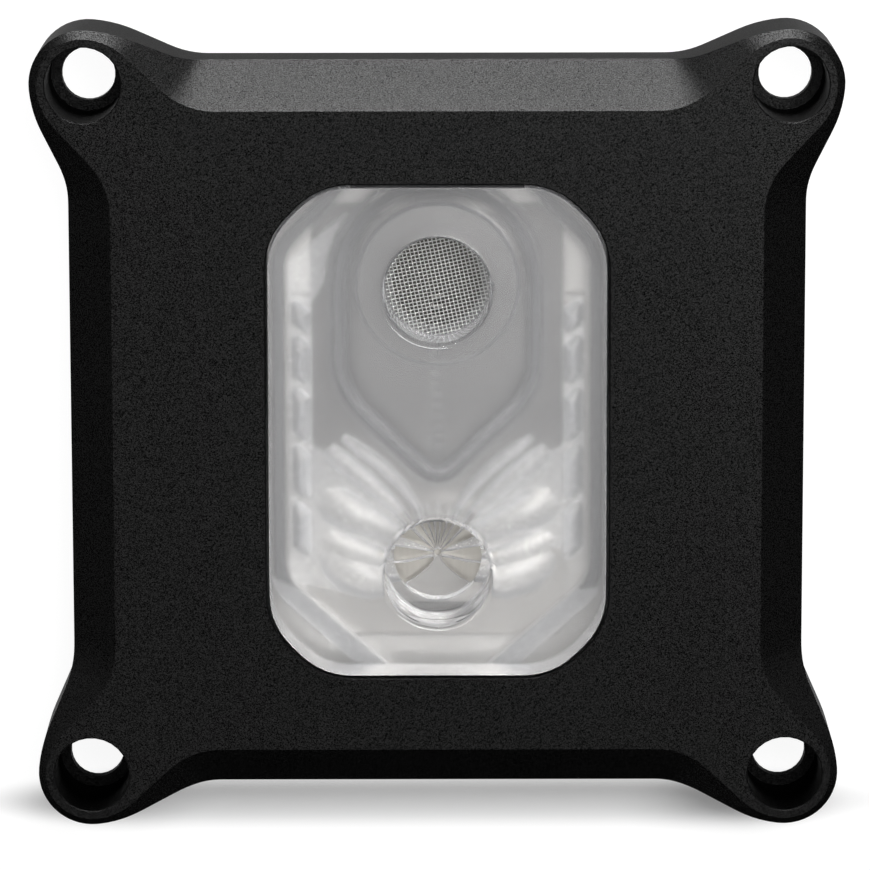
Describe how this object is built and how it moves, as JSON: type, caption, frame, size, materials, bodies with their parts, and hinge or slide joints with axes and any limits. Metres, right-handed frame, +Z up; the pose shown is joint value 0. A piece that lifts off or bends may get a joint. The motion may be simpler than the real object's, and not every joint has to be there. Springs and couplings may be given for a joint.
{
  "type": "cpu water block",
  "caption": "Low square processor water block: a black frame with a bolt ear at each corner holds a clear flow body with threaded ports on a finned cold plate.",
  "frame": {"origin": "middle of the contact face under the cold plate, the lowest face of the part", "axes": "+Z up through the ports, +Y towards the inlet port, +X to the right of the picture"},
  "size_m": [0.09, 0.09, 0.0176],
  "materials": {
    "black_anodised": "bead blasted and black anodised",
    "frosted_acrylic": "clear acrylic with a frosted top face",
    "nickel": "nickel plated copper, lapped on the contact face",
    "stainless": "stainless steel",
    "rubber": "moulded rubber cord",
    "dark_steel": "black oxide"
  },
  "bodies": {
    "root": {"mounting_frame": "black_anodised", "flow_body": "frosted_acrylic", "cold_plate": "nickel", "jet_plate": "stainless", "inlet_filter": "stainless", "main_seal": "rubber", "chamber_seal": "rubber", "plate_screw_1": "dark_steel", "plate_screw_2": "dark_steel", "plate_screw_3": "dark_steel", "plate_screw_4": "dark_steel", "plate_screw_5": "dark_steel", "plate_screw_6": "dark_steel", "plate_screw_7": "dark_steel", "plate_screw_8": "dark_steel", "plate_screw_9": "dark_steel", "plate_screw_10": "dark_steel"}
  },
  "joints": []
}
